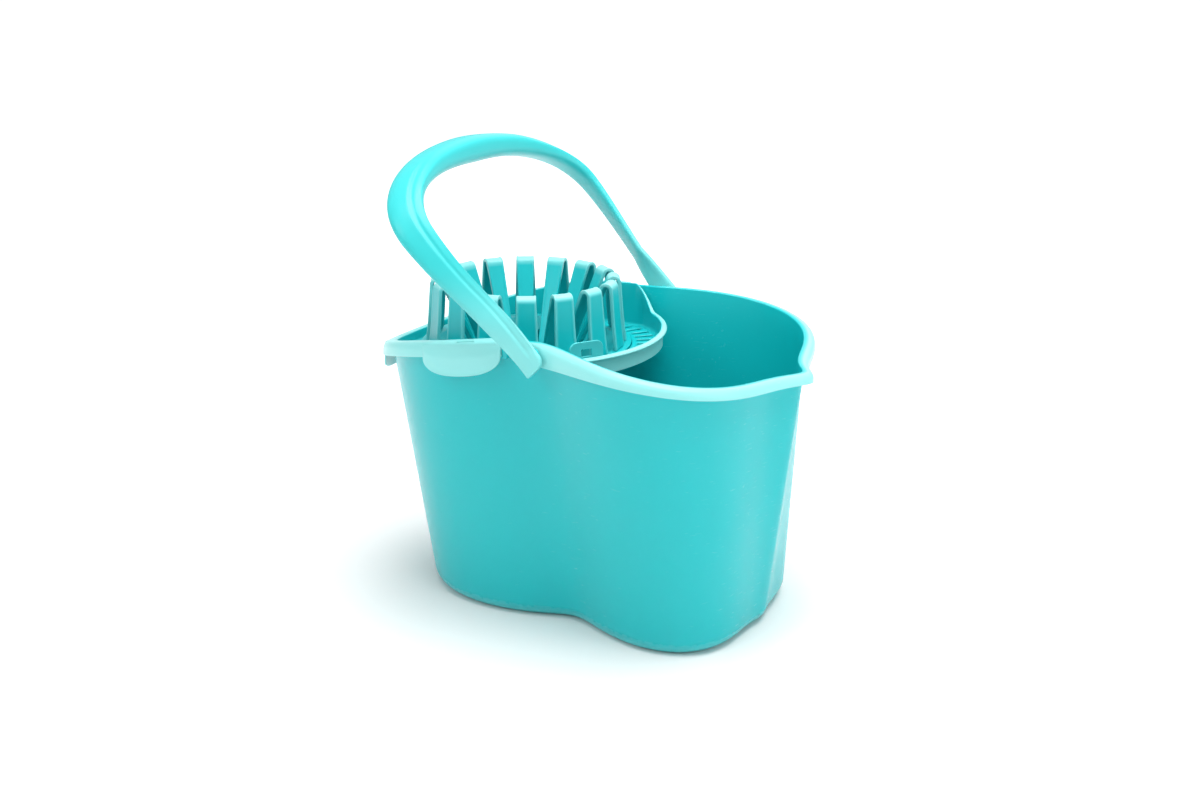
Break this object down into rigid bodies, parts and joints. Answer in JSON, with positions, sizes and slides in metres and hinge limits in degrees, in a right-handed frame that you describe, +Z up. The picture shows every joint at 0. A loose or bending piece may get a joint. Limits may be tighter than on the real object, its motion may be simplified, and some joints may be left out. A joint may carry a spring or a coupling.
{
  "type": "mop bucket",
  "caption": "Waisted oval bucket with a pouring spout, a swinging bail, and a press-in wringer insert of springy folded fingers round a perforated cone.",
  "frame": {"origin": "on the flat base, straight below the middle of the bail's pivot axis", "axes": "+Z up, +X towards the pouring spout, +Y along the bail's pivot axis"},
  "size_m": [0.3855, 0.2936, 0.3846],
  "materials": {
    "tub plastic": "glossy moulded",
    "bail plastic": "satin moulded",
    "wringer plastic": "satin moulded"
  },
  "bodies": {
    "bucket_body": {"bucket": "tub plastic"},
    "bail_body": {"bail_handle": "bail plastic"},
    "wringer_body": {"wringer_tray": "wringer plastic", "wringer_cone": "wringer plastic", "lip_tab": "wringer plastic", "front_lift_flap": "wringer plastic", "rear_lift_flap": "wringer plastic", "end_lift_flap": "wringer plastic"},
    "finger_01_body": {"wringer_finger_01": "wringer plastic"},
    "finger_02_body": {"wringer_finger_02": "wringer plastic"},
    "finger_03_body": {"wringer_finger_03": "wringer plastic"},
    "finger_04_body": {"wringer_finger_04": "wringer plastic"},
    "finger_05_body": {"wringer_finger_05": "wringer plastic"},
    "finger_06_body": {"wringer_finger_06": "wringer plastic"},
    "finger_07_body": {"wringer_finger_07": "wringer plastic"},
    "finger_08_body": {"wringer_finger_08": "wringer plastic"},
    "finger_09_body": {"wringer_finger_09": "wringer plastic"},
    "finger_10_body": {"wringer_finger_10": "wringer plastic"},
    "finger_11_body": {"wringer_finger_11": "wringer plastic"},
    "finger_12_body": {"wringer_finger_12": "wringer plastic"},
    "finger_13_body": {"wringer_finger_13": "wringer plastic"},
    "finger_14_body": {"wringer_finger_14": "wringer plastic"},
    "finger_15_body": {"wringer_finger_15": "wringer plastic"},
    "finger_16_body": {"wringer_finger_16": "wringer plastic"}
  },
  "joints": [
    {"name": "bail_swing", "type": "hinge", "parent": "bucket_body", "child": "bail_body", "pos_m": [0, 0, 0.236], "axis": [0, 1, 0], "range_deg": [0, 76]},
    {"name": "wringer_lift", "type": "slide", "parent": "bucket_body", "child": "wringer_body", "axis": [0, 0, 1], "range_m": [0, 0.038]},
    {"name": "finger_01_flex", "type": "hinge", "parent": "wringer_body", "child": "finger_01_body", "pos_m": [0.00887, 0.01314, 0.2143], "axis": [-0.1564, 0.9877, 0], "range_deg": [0, 8], "stiffness_Nm_per_rad": 0.25},
    {"name": "finger_02_flex", "type": "hinge", "parent": "wringer_body", "child": "finger_02_body", "pos_m": [-0.00248, 0.04389, 0.2143], "axis": [-0.5225, 0.8526, 0], "range_deg": [0, 8], "stiffness_Nm_per_rad": 0.25},
    {"name": "finger_03_flex", "type": "hinge", "parent": "wringer_body", "child": "finger_03_body", "pos_m": [-0.02473, 0.06796, 0.2143], "axis": [-0.809, 0.5878, 0], "range_deg": [0, 8], "stiffness_Nm_per_rad": 0.25},
    {"name": "finger_04_flex", "type": "hinge", "parent": "wringer_body", "child": "finger_04_body", "pos_m": [-0.05449, 0.08168, 0.2143], "axis": [-0.9724, 0.2334, 0], "range_deg": [0, 8], "stiffness_Nm_per_rad": 0.25},
    {"name": "finger_05_flex", "type": "hinge", "parent": "wringer_body", "child": "finger_05_body", "pos_m": [-0.08724, 0.08297, 0.2143], "axis": [-0.9877, -0.1564, 0], "range_deg": [0, 8], "stiffness_Nm_per_rad": 0.25},
    {"name": "finger_06_flex", "type": "hinge", "parent": "wringer_body", "child": "finger_06_body", "pos_m": [-0.11799, 0.07162, 0.2143], "axis": [-0.8526, -0.5225, 0], "range_deg": [0, 8], "stiffness_Nm_per_rad": 0.25},
    {"name": "finger_07_flex", "type": "hinge", "parent": "wringer_body", "child": "finger_07_body", "pos_m": [-0.14206, 0.04937, 0.2143], "axis": [-0.5878, -0.809, 0], "range_deg": [0, 8], "stiffness_Nm_per_rad": 0.25},
    {"name": "finger_08_flex", "type": "hinge", "parent": "wringer_body", "child": "finger_08_body", "pos_m": [-0.15578, 0.01961, 0.2143], "axis": [-0.2334, -0.9724, 0], "range_deg": [0, 8], "stiffness_Nm_per_rad": 0.25},
    {"name": "finger_09_flex", "type": "hinge", "parent": "wringer_body", "child": "finger_09_body", "pos_m": [-0.15707, -0.01314, 0.2143], "axis": [0.1564, -0.9877, 0], "range_deg": [0, 8], "stiffness_Nm_per_rad": 0.25},
    {"name": "finger_10_flex", "type": "hinge", "parent": "wringer_body", "child": "finger_10_body", "pos_m": [-0.14572, -0.04389, 0.2143], "axis": [0.5225, -0.8526, 0], "range_deg": [0, 8], "stiffness_Nm_per_rad": 0.25},
    {"name": "finger_11_flex", "type": "hinge", "parent": "wringer_body", "child": "finger_11_body", "pos_m": [-0.12347, -0.06796, 0.2143], "axis": [0.809, -0.5878, 0], "range_deg": [0, 8], "stiffness_Nm_per_rad": 0.25},
    {"name": "finger_12_flex", "type": "hinge", "parent": "wringer_body", "child": "finger_12_body", "pos_m": [-0.09371, -0.08168, 0.2143], "axis": [0.9724, -0.2334, 0], "range_deg": [0, 8], "stiffness_Nm_per_rad": 0.25},
    {"name": "finger_13_flex", "type": "hinge", "parent": "wringer_body", "child": "finger_13_body", "pos_m": [-0.06096, -0.08297, 0.2143], "axis": [0.9877, 0.1564, 0], "range_deg": [0, 8], "stiffness_Nm_per_rad": 0.25},
    {"name": "finger_14_flex", "type": "hinge", "parent": "wringer_body", "child": "finger_14_body", "pos_m": [-0.03021, -0.07162, 0.2143], "axis": [0.8526, 0.5225, 0], "range_deg": [0, 8], "stiffness_Nm_per_rad": 0.25},
    {"name": "finger_15_flex", "type": "hinge", "parent": "wringer_body", "child": "finger_15_body", "pos_m": [-0.00614, -0.04937, 0.2143], "axis": [0.5878, 0.809, 0], "range_deg": [0, 8], "stiffness_Nm_per_rad": 0.25},
    {"name": "finger_16_flex", "type": "hinge", "parent": "wringer_body", "child": "finger_16_body", "pos_m": [0.00758, -0.01961, 0.2143], "axis": [0.2334, 0.9724, 0], "range_deg": [0, 8], "stiffness_Nm_per_rad": 0.25}
  ],
  "couplings": [
    {"joint": "finger_02_flex", "follows": "finger_01_flex", "ratio": 1},
    {"joint": "finger_03_flex", "follows": "finger_01_flex", "ratio": 1},
    {"joint": "finger_04_flex", "follows": "finger_01_flex", "ratio": 1},
    {"joint": "finger_05_flex", "follows": "finger_01_flex", "ratio": 1},
    {"joint": "finger_06_flex", "follows": "finger_01_flex", "ratio": 1},
    {"joint": "finger_07_flex", "follows": "finger_01_flex", "ratio": 1},
    {"joint": "finger_08_flex", "follows": "finger_01_flex", "ratio": 1},
    {"joint": "finger_09_flex", "follows": "finger_01_flex", "ratio": 1},
    {"joint": "finger_10_flex", "follows": "finger_01_flex", "ratio": 1},
    {"joint": "finger_11_flex", "follows": "finger_01_flex", "ratio": 1},
    {"joint": "finger_12_flex", "follows": "finger_01_flex", "ratio": 1},
    {"joint": "finger_13_flex", "follows": "finger_01_flex", "ratio": 1},
    {"joint": "finger_14_flex", "follows": "finger_01_flex", "ratio": 1},
    {"joint": "finger_15_flex", "follows": "finger_01_flex", "ratio": 1},
    {"joint": "finger_16_flex", "follows": "finger_01_flex", "ratio": 1}
  ]
}
